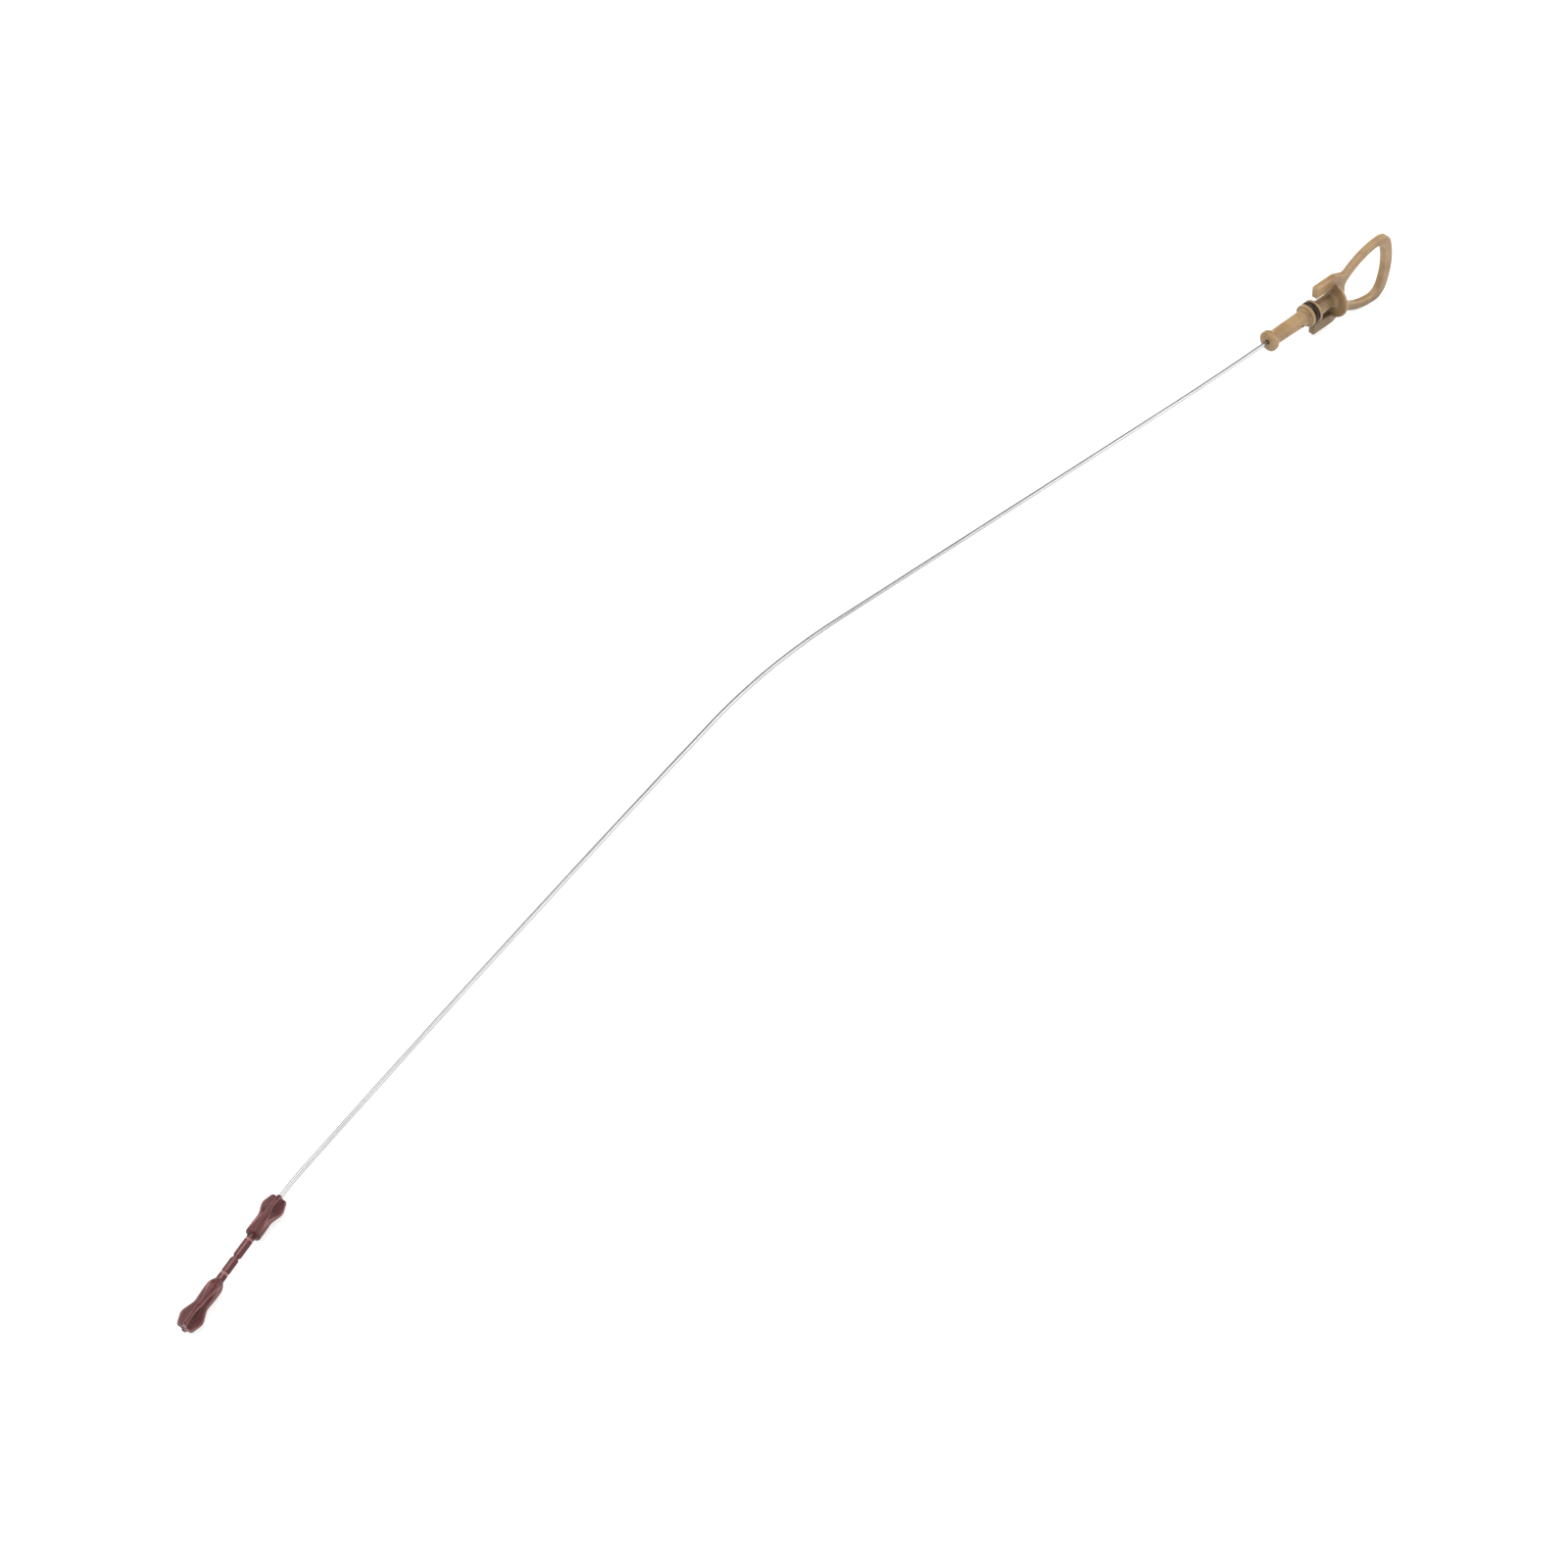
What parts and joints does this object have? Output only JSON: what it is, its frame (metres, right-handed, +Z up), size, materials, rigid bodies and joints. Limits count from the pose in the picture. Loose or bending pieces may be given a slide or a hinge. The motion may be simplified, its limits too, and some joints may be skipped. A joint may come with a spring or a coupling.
{
  "type": "oil dipstick",
  "caption": "Engine oil dipstick: a long formed steel wire with a moulded pull handle, finger loop and sealing ring at one end and a finned level gauge at the other.",
  "frame": {"origin": "middle of the part's box on the floor it lies on", "axes": "+X along the handle from its nose to its finger loop, seen from above; +Z up; the wire runs to -X and turns towards -Y"},
  "size_m": [0.8124, 0.1474, 0.0406],
  "materials": {
    "handle": "satin",
    "seal_ring": "satin",
    "wire": "bright drawn",
    "level_tip": "satin"
  },
  "bodies": {
    "root": {"handle": "handle", "seal_ring": "seal_ring", "wire": "wire", "level_tip": "level_tip"}
  },
  "joints": []
}
